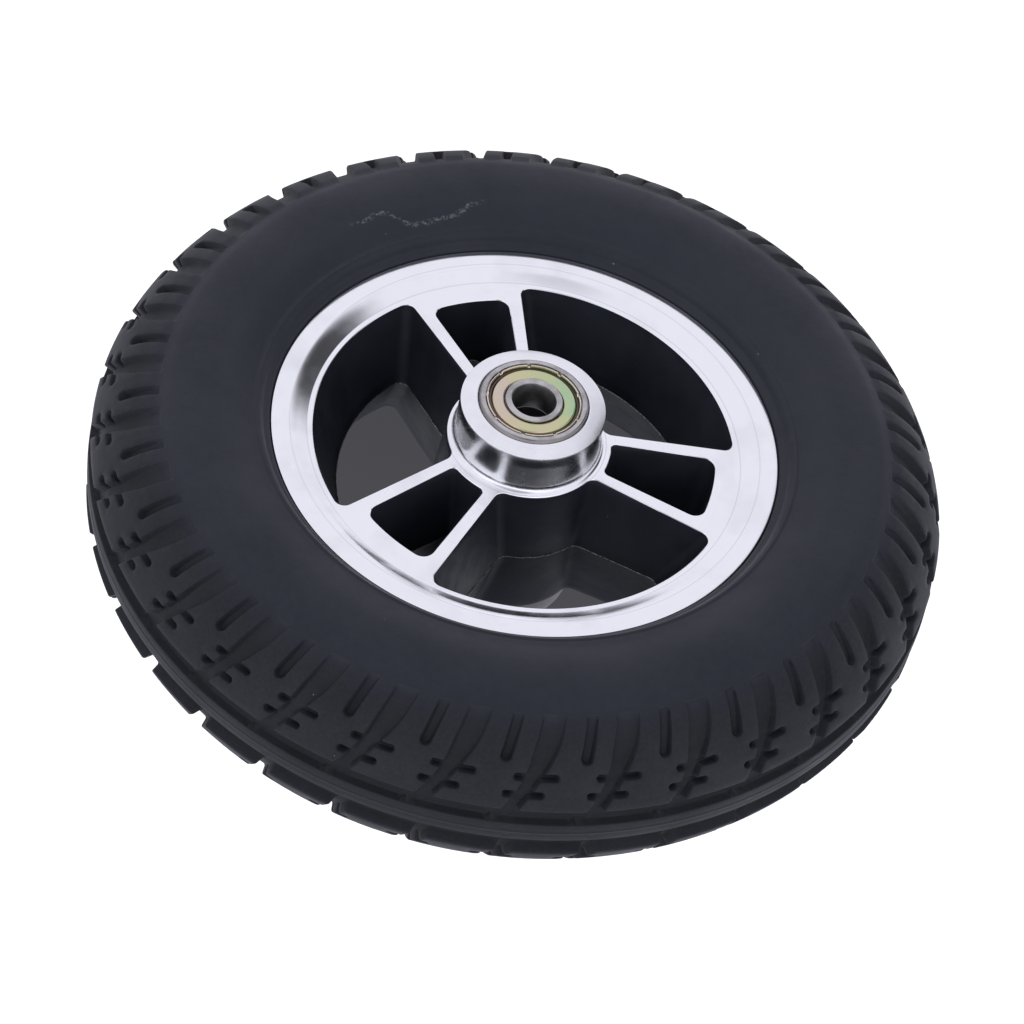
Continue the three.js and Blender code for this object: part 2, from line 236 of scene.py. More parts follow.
class Nodes:
    """A small builder for the node tree of a new material or world."""

    def __init__(self, name, owners=bpy.data.materials, shader="Principled BSDF"):
        self.owner = owners.new(name)
        self.owner.use_nodes = True
        self.tree = self.owner.node_tree
        self.shader = self.tree.nodes[shader]

    def add(self, kind, inputs=None, **settings):
        node = self.tree.nodes.new(kind)
        for key, value in settings.items():
            setattr(node, key, value)
        for key, value in (inputs or {}).items():
            self.feed(node.inputs[key], value)
        return node

    def feed(self, socket, value):
        if isinstance(value, bpy.types.NodeSocket):
            self.tree.links.new(value, socket)
        else:
            socket.default_value = value

    def math(self, operation, *values):
        node = self.tree.nodes.new("ShaderNodeMath")
        node.operation = operation
        for socket, value in zip(node.inputs, values):
            self.feed(socket, value)
        return node.outputs[0]

    def times(self, first, second):
        return self.math("MULTIPLY", first, second)

    def plus(self, first, second):
        return self.math("ADD", first, second)

    def minus(self, first, second):
        return self.math("SUBTRACT", first, second)

    def position(self):
        return self.add("ShaderNodeTexCoord").outputs["Object"]

    def noise(self, size_mm, detail=3, vector=None, distortion=0.0):
        """Noise whose features are about size_mm across."""
        node = self.add("ShaderNodeTexNoise", {
            "Vector": vector or self.position(), "Scale": 1 / (size_mm * MM), "Detail": detail,
            "Roughness": 0.55, "Distortion": distortion})
        return node.outputs["Fac"]

    def spread(self, value, low, high, to_low=0.0, to_high=1.0):
        """value from low..high moved to to_low..to_high, and held there outside it."""
        node = self.add("ShaderNodeMapRange", {
            "Value": value, "From Min": low, "From Max": high, "To Min": to_low, "To Max": to_high})
        return node.outputs["Result"]

    def mix(self, factor, first, second):
        node = self.add("ShaderNodeMix", data_type="RGBA")
        self.feed(node.inputs["Factor"], factor)
        self.feed(node.inputs["A"], first)
        self.feed(node.inputs["B"], second)
        return node.outputs["Result"]

    def dusted(self, base, spacing_mm, radius, share, tone):
        """base with scattered dots of dust, whose radius is counted in spacings."""
        dots = self.add("ShaderNodeTexVoronoi", {
            "Vector": self.position(), "Scale": 1 / (spacing_mm * MM)})
        dust = self.math("LESS_THAN", dots.outputs["Distance"], radius)
        return self.mix(self.times(dust, share), base, grey(tone))

    def bump(self, height, depth_mm, normal=None):
        inputs = {"Height": height, "Strength": 1.0, "Distance": depth_mm * MM}
        if normal is not None:
            inputs["Normal"] = normal
        return self.add("ShaderNodeBump", inputs).outputs["Normal"]

    def polar(self):
        """Radius in millimetres, turn in radians and height in millimetres of the shaded point."""
        split = self.add("ShaderNodeSeparateXYZ", {"Vector": self.position()}).outputs
        square = self.plus(self.times(split["X"], split["X"]), self.times(split["Z"], split["Z"]))
        radius = self.times(self.math("SQRT", square), 1 / MM)
        turn = self.math("ARCTAN2", split["Z"], split["X"])
        return radius, turn, self.times(split["Y"], -1 / MM)

    def turned_vector(self, squeeze):
        """Coordinates whose noise is drawn out into rings about the axle, like a lathe's marks."""
        radius, turn, height = self.polar()
        around = self.times(turn, squeeze)
        joined = self.add("ShaderNodeCombineXYZ", {
            "X": self.times(radius, MM), "Y": self.times(height, MM), "Z": self.times(around, MM)})
        return joined.outputs["Vector"]

    def set(self, **values):
        for key, value in values.items():
            self.feed(self.shader.inputs[key.replace("_", " ")], value)
        return self.owner


def grey(value, tint=(1.0, 1.0, 1.0)):
    return (value * tint[0], value * tint[1], value * tint[2], 1.0)


# ------- materials

# pairs of radii: a change of colour or roughness begins at the first and is complete at the second;
# some of these are painted shade or sheen
BEAD_SHEEN_BAND = (72.5, 69.5)
TREAD_BAND = (82.0, 89.0)
HUB_END_BAND = (17.6, 16.9)
RING_EDGE_BAND = (11.95, 12.3)
SHIELD_GAP_SHADE_BANDS = ((6.57, 6.62), (9.0, 8.5))
BORE_EDGE_BAND = (5.3, 5.1)
SHIELD_GROOVE_SHADE_BANDS = ((9.48, 9.62), (10.42, 10.25))
SHIELD_LIP_BAND = (10.3, 10.5)
EDGE_SHADE_LINES = (54.15, 50.0, 18.5)  # the lip's edge, the cone's foot and the hub's fillet, where thin dark rings are painted as shade

RUBBER_DARK = (0.0080, 0.0105, 0.0190, 1)
RUBBER_LIGHT = (0.0120, 0.0148, 0.0240, 1)
# a lighter tone, used for the random bloom of the rubber and for a painted sheen next to the bead
RUBBER_BLOOM_AND_SHEEN = (0.020, 0.023, 0.032, 1)
TREAD_DARK = (0.0050, 0.0062, 0.0092, 1)
TREAD_LIGHT = (0.0108, 0.0122, 0.0160, 1)
PAINT_DARK = (0.013, 0.015, 0.020, 1)
PAINT_LIGHT = (0.019, 0.022, 0.030, 1)
ZINC_GREEN = (0.42, 0.60, 0.37, 1)
ZINC_PINK = (0.68, 0.56, 0.49, 1)
ZINC_BETWEEN = ((0.3, (0.56, 0.6, 0.33, 1)), (0.55, (0.64, 0.6, 0.36, 1)),
                (0.78, (0.67, 0.57, 0.40, 1)))
ZINC_LIP = (0.8, 0.7, 0.62, 1)
ZINC_GROOVE_SHADE = (0.09, 0.07, 0.055, 1)


def make_rubber():
    n = Nodes("tyre_rubber")
    broad = n.spread(n.noise(38), 0.38, 0.64)
    fine = n.spread(n.noise(2.2, detail=5), 0.35, 0.7)
    base = n.mix(broad, RUBBER_DARK, RUBBER_LIGHT)
    base = n.mix(n.times(fine, 0.35), base, RUBBER_BLOOM_AND_SHEEN)
    radius, _, height = n.polar()
    # a lighter ring next to the bead: painted sheen
    base = n.mix(n.spread(radius, *BEAD_SHEEN_BAND, 0.0, 0.35), base, RUBBER_BLOOM_AND_SHEEN)
    tread = n.spread(radius, *TREAD_BAND)
    grain = n.spread(n.noise(0.8), 0.35, 0.7)
    base = n.mix(n.times(tread, 0.9), base, n.mix(grain, TREAD_DARK, TREAD_LIGHT))
    # the floors of the tread's grooves are darkened toward black: painted shade
    out = n.minus(radius, RING)
    reach = n.math("SQRT", n.plus(n.times(out, out), n.times(height, height)))
    groove_shade = n.times(n.spread(reach, TUBE - 0.5, TUBE - 1.7), tread)
    base = n.mix(n.times(groove_shade, 0.35), base, grey(0.003))
    dot_size = n.spread(n.noise(9, detail=2), 0.56, 0.72, 0.0, 0.045)
    base = n.dusted(base, 5.5, dot_size, 0.55, 0.32)
    base = n.mix(scuff_mask(n), base, grey(0.3, (1.0, 0.98, 0.93)))
    rough = n.spread(n.noise(14, detail=4), 0.3, 0.7, 0.44, 0.6)
    rough = n.plus(rough, n.times(tread, 0.12))
    skin = n.bump(n.noise(0.5), 0.05)
    waves = n.bump(n.noise(7, detail=2), 0.12, skin)
    return n.set(Base_Color=base, Roughness=rough, Normal=waves, Specular_IOR_Level=0.33,
                 Sheen_Weight=0.07, Sheen_Roughness=0.5)


SCUFF_TURN = math.radians(-57)
SCUFF_HALF_LENGTH = math.radians(15)
SCUFF_RADIUS = 64.9  # of its middle; both ends run outward from there
SCUFF_REACH = 4.4


def scuff_mask(n):
    """A chalky rub mark on the front side wall: a wavering line that breaks up."""
    radius, turn, height = n.polar()
    along = n.math("DIVIDE", n.minus(turn, SCUFF_TURN), SCUFF_HALF_LENGTH)
    ends = n.plus(n.spread(along, -1.0, -0.45, 1.0, 0.0), n.spread(along, 0.12, 0.42))
    wobble = n.spread(n.noise(6), 0.3, 0.7, -0.6, 0.6)
    line = n.plus(n.times(ends, SCUFF_REACH), wobble)
    off = n.math("ABSOLUTE", n.minus(n.minus(radius, SCUFF_RADIUS), line))
    near = n.spread(off, 0.0, 0.75, 1.0, 0.0)
    inside = n.spread(n.math("ABSOLUTE", along), 0.75, 1.0, 1.0, 0.0)
    crumbs = n.spread(n.noise(0.7, detail=5), 0.46, 0.62)
    front = n.math("GREATER_THAN", height, 15.0)
    mask = n.times(n.times(near, inside), n.times(crumbs, front))
    return n.times(mask, 0.5)


def make_machined():
    n = Nodes("machined_aluminium")
    rings = n.noise(0.3, vector=n.turned_vector(0.4))
    stain = n.spread(n.noise(13, detail=5), 0.5, 0.8)
    base = n.mix(stain, grey(0.92, (0.985, 0.99, 1.0)), grey(0.8, (0.98, 0.99, 1.0)))
    scratch = n.spread(n.noise(0.16, detail=2, vector=n.turned_vector(0.05)), 0.66, 0.72)
    base = n.mix(n.times(scratch, 0.35), base, grey(0.5))
    radius = n.polar()[0]
    # thin dark rings along these edges: painted shade
    for edge in EDGE_SHADE_LINES:
        line = n.spread(n.math("ABSOLUTE", n.minus(radius, edge)), 0.05, 0.2, 0.22, 0.0)
        base = n.mix(line, base, grey(0.3))
    rough = n.spread(n.noise(6), 0.35, 0.7, 0.12, 0.19)
    rough = n.plus(rough, n.spread(radius, *HUB_END_BAND, 0.0, 0.12))
    marks = n.bump(rings, 0.0022)
    tangent = n.add("ShaderNodeTangent", direction_type="RADIAL", axis="Y").outputs["Tangent"]
    return n.set(Base_Color=base, Metallic=1.0, Roughness=rough, Normal=marks, Anisotropic=0.5,
                 Tangent=tangent)


def make_paint(name, gloss, rough_low, rough_high):
    n = Nodes(name)
    cloud = n.spread(n.noise(16, detail=4), 0.35, 0.7)
    base = n.mix(cloud, PAINT_DARK, PAINT_LIGHT)
    base = n.dusted(base, 2.6, n.spread(n.noise(5, detail=2), 0.5, 0.75, 0.0, 0.05), 0.5, 0.35)
    rough = n.spread(n.noise(8), 0.35, 0.7, rough_low, rough_high)
    peel = n.bump(n.noise(0.9, detail=2), 0.012)
    sag = n.bump(n.noise(6, detail=2), 0.18, peel)
    return n.set(Base_Color=base, Roughness=rough, Normal=sag, Specular_IOR_Level=gloss)


def make_bare_cast():
    n = Nodes("bare_cast_aluminium")
    grain = n.noise(0.5, detail=4)
    base = n.mix(n.spread(grain, 0.35, 0.65), grey(0.03), grey(0.2))
    return n.set(Base_Color=base, Metallic=1.0, Roughness=0.45, Normal=n.bump(grain, 0.02))


def make_ground_steel():
    n = Nodes("ground_steel")
    rings = n.noise(0.22, detail=2, vector=n.turned_vector(0.3))
    haze = n.spread(n.noise(3.5, detail=4), 0.4, 0.7)
    base = n.mix(haze, grey(0.55, (1.0, 0.98, 0.96)), grey(0.34, (1.0, 0.96, 0.92)))
    radius = n.polar()[0]
    base = n.mix(n.spread(radius, *RING_EDGE_BAND, 0.0, 0.85), base, grey(0.2, (1.0, 0.92, 0.87)))
    # the ring faces in the gap beside the shield are darkened: painted shade
    shield_gap_shade = n.times(*[n.spread(radius, *band) for band in SHIELD_GAP_SHADE_BANDS])
    base = n.mix(shield_gap_shade, base, grey(0.02))
    rough = n.plus(n.spread(rings, 0.3, 0.7, 0.16, 0.28),
                   n.spread(radius, *BORE_EDGE_BAND, 0.0, 0.2))
    return n.set(Base_Color=base, Metallic=1.0, Roughness=rough, Normal=n.bump(rings, 0.004))


def make_zinc():
    """Yellow passivated zinc: a thin film whose colour drifts round the washer from pink to green."""
    n = Nodes("yellow_zinc")
    radius, turn, _ = n.polar()
    round_drift = n.plus(n.times(n.math("COSINE", turn), 0.34), n.times(n.math("SINE", turn), 0.14))
    film = n.spread(n.noise(3.5, distortion=0.6), 0.3, 0.7, 0.33, 0.67)
    ramp = n.add("ShaderNodeValToRGB", {"Fac": n.plus(film, round_drift)})
    stops = ramp.color_ramp.elements
    stops[0].color = ZINC_GREEN
    stops[1].color = ZINC_PINK
    for position, colour in ZINC_BETWEEN:
        stops.new(position).color = colour
    # the groove between the shield's washer and its curled lip is darkened: painted shade
    groove = n.times(*[n.spread(radius, *band) for band in SHIELD_GROOVE_SHADE_BANDS])
    lip = n.spread(radius, *SHIELD_LIP_BAND)
    base = n.mix(n.times(lip, 0.8), ramp.outputs["Color"], ZINC_LIP)
    base = n.mix(n.times(groove, 0.95), base, ZINC_GROOVE_SHADE)
    grain = n.noise(0.3)
    rough = n.spread(grain, 0.3, 0.7, 0.2, 0.32)
    return n.set(Base_Color=base, Metallic=1.0, Roughness=rough, Normal=n.bump(grain, 0.005))


def make_sheet_steel(name, tone, rough_low, rough_high):
    n = Nodes(name)
    grain = n.noise(0.4, detail=4)
    base = n.mix(n.spread(grain, 0.3, 0.7), grey(tone), grey(tone * 0.8))
    rough = n.spread(n.noise(1.5, detail=4), 0.3, 0.7, rough_low, rough_high)
    return n.set(Base_Color=base, Metallic=1.0, Roughness=rough, Normal=n.bump(grain, 0.005))


rubber = make_rubber()
machined = make_machined()
paint = make_paint("black_paint", 0.2, 0.42, 0.55)
rear_paint = make_paint("black_paint_thin", 0.12, 0.5, 0.6)
bare_cast = make_bare_cast()
ground_steel = make_ground_steel()
zinc = make_zinc()
cage_steel = make_sheet_steel("cage_steel", 0.42, 0.3, 0.45)
ball_steel = make_sheet_steel("ball_steel", 0.62, 0.06, 0.12)
rivet_steel = make_sheet_steel("rivet_steel", 0.4, 0.3, 0.4)
spacer_steel = make_sheet_steel("spacer_steel", 0.33, 0.35, 0.5)
# a dark rough-turned finish for the rear hub side: partly a guessed finish, partly painted shade in
# place of the shaded floor it would mirror
rough_turned_shaded = make_sheet_steel("rough_turned_shaded_aluminium", 0.14, 0.4, 0.5)


# ------- tyre

PITCHES = 33
PITCH = FULL_TURN / PITCHES
TREAD_TURN = math.radians(87.2)  # where one wide groove meets the crown groove
SEAM_TURN = math.radians(87.45)  # half a turn about this radius carries the front on to the rear
FLAT_RADIUS = 92.0  # radius at which turn is measured out flat as u
PITCH_U = PITCH * FLAT_RADIUS
RIB_RADIUS = 98.5
RIB_END = 12  # degrees round the section, in the floor of the crown groove


def across(degrees):
    """Distance v round the section from the middle plane."""
    return TUBE * math.radians(degrees)


def along(degrees):
    """Distance u round the wheel, laid out flat."""
    return FLAT_RADIUS * math.radians(degrees)


RIB_V = across(6.4)
TREAD_END = 69.7  # degrees round the section
BLOCK_END_V = across(68.3)
TREAD_END_V = across(TREAD_END)
MOULD_SEAM_HEIGHT = 0.1  # of the line round the crown
MOULD_SEAM_HALF = 0.16
GROOVE_START = 17.5  # degrees round the section where the wide grooves begin
GROOVE_SPAN = 50.0
GROOVE_SHIFT = 7.75  # degrees round the wheel that it would lean over that span, if straight
GROOVE_CURVE = 2.75  # degrees that its bend takes off again
NOTCH_RADIUS = 0.93
# bars across a wide groove: degrees round the section, and both ends in degrees round the wheel
NOTCHES = ((36.0, 0.35, 5.4), (26.5, -0.8, 3.65))
SLOT_RADIUS = along(0.88)
SLOT = ((along(0.03), across(73.5)), (along(-0.8), across(58)), (along(-1.45), across(45.9)))
SLOT_HEAD_RADIUS = 1.42
# (degrees round the section, height above the round section): block ends, valley, side wall
SHOULDER = ((62.0, 0.0), (63.1, -0.03), (64.3, -0.1), (66.9, -0.28), (68.3, -0.32), (69.7, -0.27),
            (72.0, -0.12), (74.0, -0.03), (76.0, 0.0))
# the same for the grooves' floors, and for the valley before the bead
FLOOR = ((0, -2.9), (15, -2.9), (20, -2.4), (45, -2.0), (56, -1.6), (63.5, -1.3), (66.7, -1.0),
         (68.3, -0.38), (69.7, -0.27))
BEAD_VALLEY = ((107, -0.04), (111, -0.14), (114.5, -0.28), (118, -0.42))
# (radius, height) of the bead, from its raised edge down to the rim's lip
BEAD = [(62.45, 21.17), (62.15, 21.42), (61.95, 21.42), (61.2, 20.62), (60.75, 20.1),
        (60.45, 19.3), (60.1, 18.7), (59.5, 18.35), (58.8, 17.95)]
# how far down the groove wall a point is, by its distance inside the groove's outline
WALL = ((-0.22, 0.0), (-0.04, 0.045), (0.08, 0.17), (0.42, 0.88), (0.74, 1.0))


def groove_share(v):
    """0 where the wide grooves begin and 1 at the end of their span."""
    return (np.degrees(v / TUBE) - GROOVE_START) / GROOVE_SPAN


def groove_middle(v):
    """u of the wide groove's middle line at v."""
    t = groove_share(v)
    return along(1) * (GROOVE_SHIFT * t - GROOVE_CURVE * t * t)


def groove_half_width(v):
    t = np.clip((groove_share(v) - 0.25) / 0.5, 0, 1)
    return along(1) * (1.16 + 0.64 * t * t * (3 - 2 * t))


def capsule(u, v, start, end, radius):
    """Distance inside a round-ended bar from start to end, negative outside."""
    axis = np.array(end) - np.array(start)
    t = np.clip(((u - start[0]) * axis[0] + (v - start[1]) * axis[1]) / axis.dot(axis), 0, 1)
    return radius - np.hypot(u - start[0] - t * axis[0], v - start[1] - t * axis[1])


def tread_depth_field(u, v):
    """Distance inside the tread's grooves at (u, v), negative on the blocks and on the rib."""
    lean = along(GROOVE_SHIFT - 2 * GROOVE_CURVE * 0.4) / across(GROOVE_SPAN)
    inside = np.minimum(v - RIB_V, across(GROOVE_START) - v)
    for shift in (-PITCH_U, 0.0, PITCH_U):
        w = u - shift
        wide = (groove_half_width(v) - np.abs(w - groove_middle(v))) / math.hypot(1, lean)
        inside = np.maximum(inside, np.where(v > RIB_V, wide, -9.0))
        for degrees, left, right in NOTCHES:
            row = across(degrees)
            middle = float(groove_middle(row))
            for end in (along(left), along(right)):
                inside = np.maximum(inside, capsule(w, v, (middle, row), (end, row), NOTCH_RADIUS))
        for start, end in zip(SLOT, SLOT[1:]):
            inside = np.maximum(inside, capsule(w, v, start, end, SLOT_RADIUS))
        head = np.hypot(w - SLOT[-1][0], v - SLOT[-1][1])
        inside = np.maximum(inside, SLOT_HEAD_RADIUS - head)
    return np.minimum(inside, BLOCK_END_V - v)


def tread_height(u, v):
    """Height of the tread's surface above the round section."""
    degrees = np.degrees(v / TUBE)
    top = np.interp(degrees, *zip(*SHOULDER))
    seam = MOULD_SEAM_HEIGHT * np.clip(1 - v / MOULD_SEAM_HALF, 0, 1)
    rib = (RIB_RADIUS - RING) / np.cos(v / TUBE) - TUBE + seam
    top = np.where(degrees < RIB_END, rib, top)
    floor = np.minimum(np.interp(degrees, *zip(*FLOOR)), top)
    return top + (floor - top) * np.interp(tread_depth_field(u, v), *zip(*WALL))


def contour_lines(field, level, us, vs):
    """Lines along which a gridded field equals level, each a list of (u, v) points in order."""
    above = field > level
    links = {}

    def far_end(edge):
        way, j, i = edge
        return (j, i + 1) if way == 0 else (j + 1, i)

    def crossing(edge):
        j, i = edge[1:]
        far_j, far_i = far_end(edge)
        first, second = field[j, i] - level, field[far_j, far_i] - level
        t = first / (first - second)
        return (us[i] + t * (us[far_i] - us[i]), vs[j] + t * (vs[far_j] - vs[j]))

    rows, columns = field.shape
    for j in range(rows - 1):
        for i in range(columns - 1):
            edges = ((0, j, i), (1, j, i + 1), (0, j + 1, i), (1, j, i))
            cut = [edge for edge in edges if above[edge[1:]] != above[far_end(edge)]]
            for first, second in zip(cut[::2], cut[1::2]):
                links.setdefault(first, []).append(second)
                links.setdefault(second, []).append(first)
    lines = []
    ends = [edge for edge, near in links.items() if len(near) == 1]
    for start in ends + list(links):
        if start not in links:
            continue
        line = [start]
        while links.get(line[-1]):
            step = links[line[-1]].pop()
            links[step].remove(line[-1])
            if not links[line[-1]]:
                del links[line[-1]]
            line.append(step)
        links.pop(line[-1], None)
        if len(line) > 1:
            lines.append([crossing(edge) for edge in line])
    return lines


def simplify(line, tolerance):
    """Douglas-Peucker: the fewest of a line's points that keep it within tolerance."""
    points = np.array(line)
    keep = {0, len(points) - 1}
    work = [(0, len(points) - 1)]
    if np.allclose(points[0], points[-1]):
        far = int(np.argmax(np.hypot(*(points - points[0]).T)))
        keep.add(far)
        work = [(0, far), (far, len(points) - 1)]
    while work:
        low, high = work.pop()
        if high - low < 2:
            continue
        chord = points[high] - points[low]
        offset = points[low + 1:high] - points[low]
        length = max(np.hypot(*chord), 1e-9)
        off = np.abs(chord[0] * offset[:, 1] - chord[1] * offset[:, 0]) / length
        if off.max() > tolerance:
            middle = low + 1 + int(np.argmax(off))
            keep.add(middle)
            work += [(low, middle), (middle, high)]
    return points[sorted(keep)]


def subdivided(line, longest):
    """The line with points added so that no step is over longest."""
    result = [tuple(line[0])]
    for start, end in zip(line, line[1:]):
        steps = max(1, math.ceil(np.hypot(*(np.array(end) - start)) / longest))
        for step in range(1, steps + 1):
            result.append(tuple(np.array(start) + (np.array(end) - start) * step / steps))
    return result


def triangulate(lines, extra):
    """Triangles of the plane that keep every line and use the extra points as well."""
    points, edges = [], []
    for line in lines:
        first = len(points)
        points += [Vector(p) for p in line]
        edges += [(i, i + 1) for i in range(first, len(points) - 1)]
    points += [Vector(p) for p in extra]
    flat, _, faces, *_ = delaunay_2d_cdt(points, edges, [], 0, 1e-5)
    return np.array([tuple(p) for p in flat]), faces


RING_STEPS = 12  # points round the wheel for each pitch, on rings shared with other surfaces
RING_SPLIT = 6  # contour grid columns for each of them
GRID_STEP = 0.24  # between the grid's rows
LINE_STEP = 1.25  # longest edge along a contour
FILL_STEP = 1.85  # between all other points


def tread_cell():
    """One pitch of the front half of the tread: points as (u, v) and triangles."""
    start = along(math.degrees(SEAM_TURN - TREAD_TURN))
    us = start + np.linspace(0, PITCH_U, RING_STEPS * RING_SPLIT + 1)
    vs = np.linspace(0, TREAD_END_V, int(TREAD_END_V / GRID_STEP) + 1)
    field = tread_depth_field(*np.meshgrid(us, vs))
    field[:, -1] = field[:, 0]
    lines = []
    for level, _ in WALL:
        for line in contour_lines(field, level, us, vs):
            lines.append(subdivided(simplify(line, 0.02), LINE_STEP))
    ring_u = us[::RING_SPLIT]
    ring_degrees = [math.degrees(MOULD_SEAM_HALF / TUBE)]
    ring_degrees += [d for d, _ in SHOULDER if d < TREAD_END]
    for v in [0.0, TREAD_END_V] + [across(d) for d in ring_degrees]:
        lines.append([(u, v) for u in ring_u])
    for u in (us[0], us[-1]):
        lines.append(subdivided([(u, 0.0), (u, TREAD_END_V)], FILL_STEP))
    fill = []
    for row, v in enumerate(np.arange(FILL_STEP / 2, across(60), FILL_STEP * 0.87)):
        for u in np.arange(us[0] + (0.5 + row % 2 / 2) * FILL_STEP, us[-1] - 0.5, FILL_STEP):
            depth = float(tread_depth_field(np.array(u), np.array(v)))
            if min(abs(depth - level) for level, _ in WALL) > 0.5:
                fill.append((u, v))
    return triangulate(lines, fill)


def tyre_side_section():
    """From the end of the tread over the side wall, the bead and the bore, to the middle plane."""
    side = [(d, h) for d, h in SHOULDER if d >= TREAD_END]
    side += [(d, 0.0) for d in np.arange(79, 104, 4.8)] + list(BEAD_VALLEY)
    section = []
    for degrees, height in side:
        angle = math.radians(degrees)
        section.append((RING + (TUBE + height) * math.cos(angle), (TUBE + height) * math.sin(angle)))
    return section + BEAD + [
        (LIP_OUTER + 0.16, LIP_HEIGHT - 0.5), (LIP_OUTER + 0.16, LIP_HEIGHT - 3.25),
        (51.6, LIP_HEIGHT - 3.3), (50.7, 8.5), (46.4, 3.9), (46.4, 0.0)]


def make_tyre():
    flat, triangles = tread_cell()
    u, v = flat[:, 0], flat[:, 1]
    angle = v / TUBE
    reach = TUBE + tread_height(u, v)
    radius = RING + reach * np.cos(angle)
    height = reach * np.sin(angle)
    turn = TREAD_TURN + u / FLAT_RADIUS
    shell = Shell()
    for pitch in range(PITCHES):
        shell.add(place(radius, turn + pitch * PITCH, height), triangles)
        shell.add(place(radius, 2 * SEAM_TURN - turn - pitch * PITCH, -height), triangles)
    turns = even_turns(PITCHES * RING_STEPS, SEAM_TURN)
    last = np.argmax(v)
    front = [(float(radius[last]), float(height[last]))] + tyre_side_section()
    rear = [(r, -h) for r, h in front]
    shell.strip(lathe_rows(front, turns))
    shell.strip(lathe_rows(rear, turns))
    points, faces, _ = shell.joined()
    tyre = new_piece("tyre_moulded", points, faces, [rubber])
    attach(tyre, "wheel")
    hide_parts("tyre")


make_tyre()


# ------- rim

HUB_OUTER = 16.65
HUB_RING = 18.4  # ring that the spokes grow from
HUB_RING_RISE = 1.85  # how far the ring stands above the outer ends of the spokes
HUB_FILLET = 1.75
HUB_BORE = 11.0
SEAT_FLOOR = BEARING_FACE - BEARING_WIDTH
SPOKE_FACE_RADIUS = 49.9  # where the spoke face meets the cone of the lip
SPOKE_FACE_HEIGHT = {1: 15.5, -1: 20.0}  # outer ends of the spokes, front and rear
CONE_OUTER = 54.1
SPOKE_PAIRS = (57, 177, 297)  # degrees
WINDOW_FULL = {1: 15.6, -1: 20.1}  # height at which a window has its full size
PARTING = 2.0  # how far behind the middle plane the two dies met
DRAFT_SIDE = 3.6  # how much a window closes toward there, at each side
DRAFT_HUB = 1.4  # and at the hub
BARREL_MIDDLE = 41.5  # radius of its outer arc there
SHEET_INNER = 17.9  # radii that bound the machined face with the windows in it
SHEET_OUTER = 49.75
EDGE_BREAK = 0.13
RIM_STEPS = 264
HUB_STEPS = 160
HUB_SIDE_ROWS = 13  # rows of the hub's section up to its end, which at the rear take a dark rough-turned finish that is partly painted shade
MACHINED, PAINTED, PAINTED_REAR, BARE, ROUGH_SHADED = range(5)  # the rim's finishes; the last is partly painted shade


def face_height(radius, side):
    """Distance of a machined face from the middle plane, between the hub's fillet and the lip."""
    radius = np.asarray(radius, dtype=float)
    slope = HUB_RING_RISE / (HUB_RING - SPOKE_FACE_RADIUS)
    flat = SPOKE_FACE_HEIGHT[side] + (radius - SPOKE_FACE_RADIUS) * slope
    inward = np.clip(HUB_RING - radius, 0, HUB_FILLET)
    return flat + HUB_FILLET - np.sqrt(HUB_FILLET ** 2 - inward ** 2)


def corner_fillet(side, offset, arc_radius, fillet, sense, steps):
    """Points of a rounded corner between a window's side and an arc about the axle."""
    lengthways = np.array((math.cos(side), math.sin(side)))
    crossways = np.array((-lengthways[1], lengthways[0]))
    reach = arc_radius + sense * fillet
    centre = (lengthways * math.sqrt(reach ** 2 - (offset - fillet) ** 2)
              + crossways * (offset - fillet))
    on_side = math.atan2(crossways[1], crossways[0])
    on_arc = math.atan2(-sense * centre[1], -sense * centre[0])
    sweep = (on_arc - on_side + math.pi) % FULL_TURN - math.pi
    angles = on_side + sweep * np.linspace(0, 1, steps + 1)
    return centre + fillet * np.stack([np.cos(angles), np.sin(angles)], axis=-1)


def sweep_points(radius, start, end, steps):
    angles = np.linspace(start, end, steps + 1)
    return radius * np.stack([np.cos(angles), np.sin(angles)], axis=-1)


def window_outline(shape, opening, grow=0.0):
    """Closed outline of a window about +X: opening is 0 in the parting plane and 1 at full size."""
    side = math.radians(shape["slope"])
    offset = shape["offset"] - DRAFT_SIDE * (1 - opening) + grow
    inner = shape["inner"] + DRAFT_HUB * (1 - opening) - grow
    outer = BARREL_MIDDLE + (shape["outer"] - BARREL_MIDDLE) * opening + grow
    inner_steps, corner_steps, side_steps, outer_steps = shape["steps"]
    low = corner_fillet(side, offset, inner, shape["inner_fillet"] + grow, 1, corner_steps)
    high = corner_fillet(side, offset, outer, shape["outer_fillet"] + grow, -1, corner_steps)
    low_end = math.atan2(low[-1][1], low[-1][0])
    high_end = math.atan2(high[-1][1], high[-1][0])
    ramp = np.linspace(0, 1, side_steps + 1)[1:-1, None]
    half = np.concatenate([
        sweep_points(inner, 0, low_end, inner_steps)[:-1], low[::-1],
        low[0] + (high[0] - low[0]) * ramp, high,
        sweep_points(outer, high_end, 0, outer_steps)[1:]])
    return np.concatenate([half, half[-2:0:-1] * (1, -1)])


NARROW_WINDOW = {"slope": 12, "offset": 0.28, "inner": 19.8, "outer": 44.1, "inner_fillet": 1.3,
                 "outer_fillet": 2.8, "steps": (4, 7, 9, 6)}
WIDE_WINDOW = {"slope": 48, "offset": -3.64, "inner": 18.4, "outer": 48.8, "inner_fillet": 2.6,
               "outer_fillet": 2.4, "steps": (10, 8, 9, 24)}
WINDOWS = [(NARROW_WINDOW, turn) for turn in SPOKE_PAIRS]
WINDOWS += [(WIDE_WINDOW, turn + 60) for turn in SPOKE_PAIRS]


def flash_fin(turn, window):
    """How far the ragged fin of the casting stands into a window at the parting plane."""
    ragged = np.sin(turn * 23 + window * 2.1) * np.sin(turn * 57 + window) + np.sin(turn * 131)
    return 0.17 + 0.09 * np.clip(ragged, -1, 1)


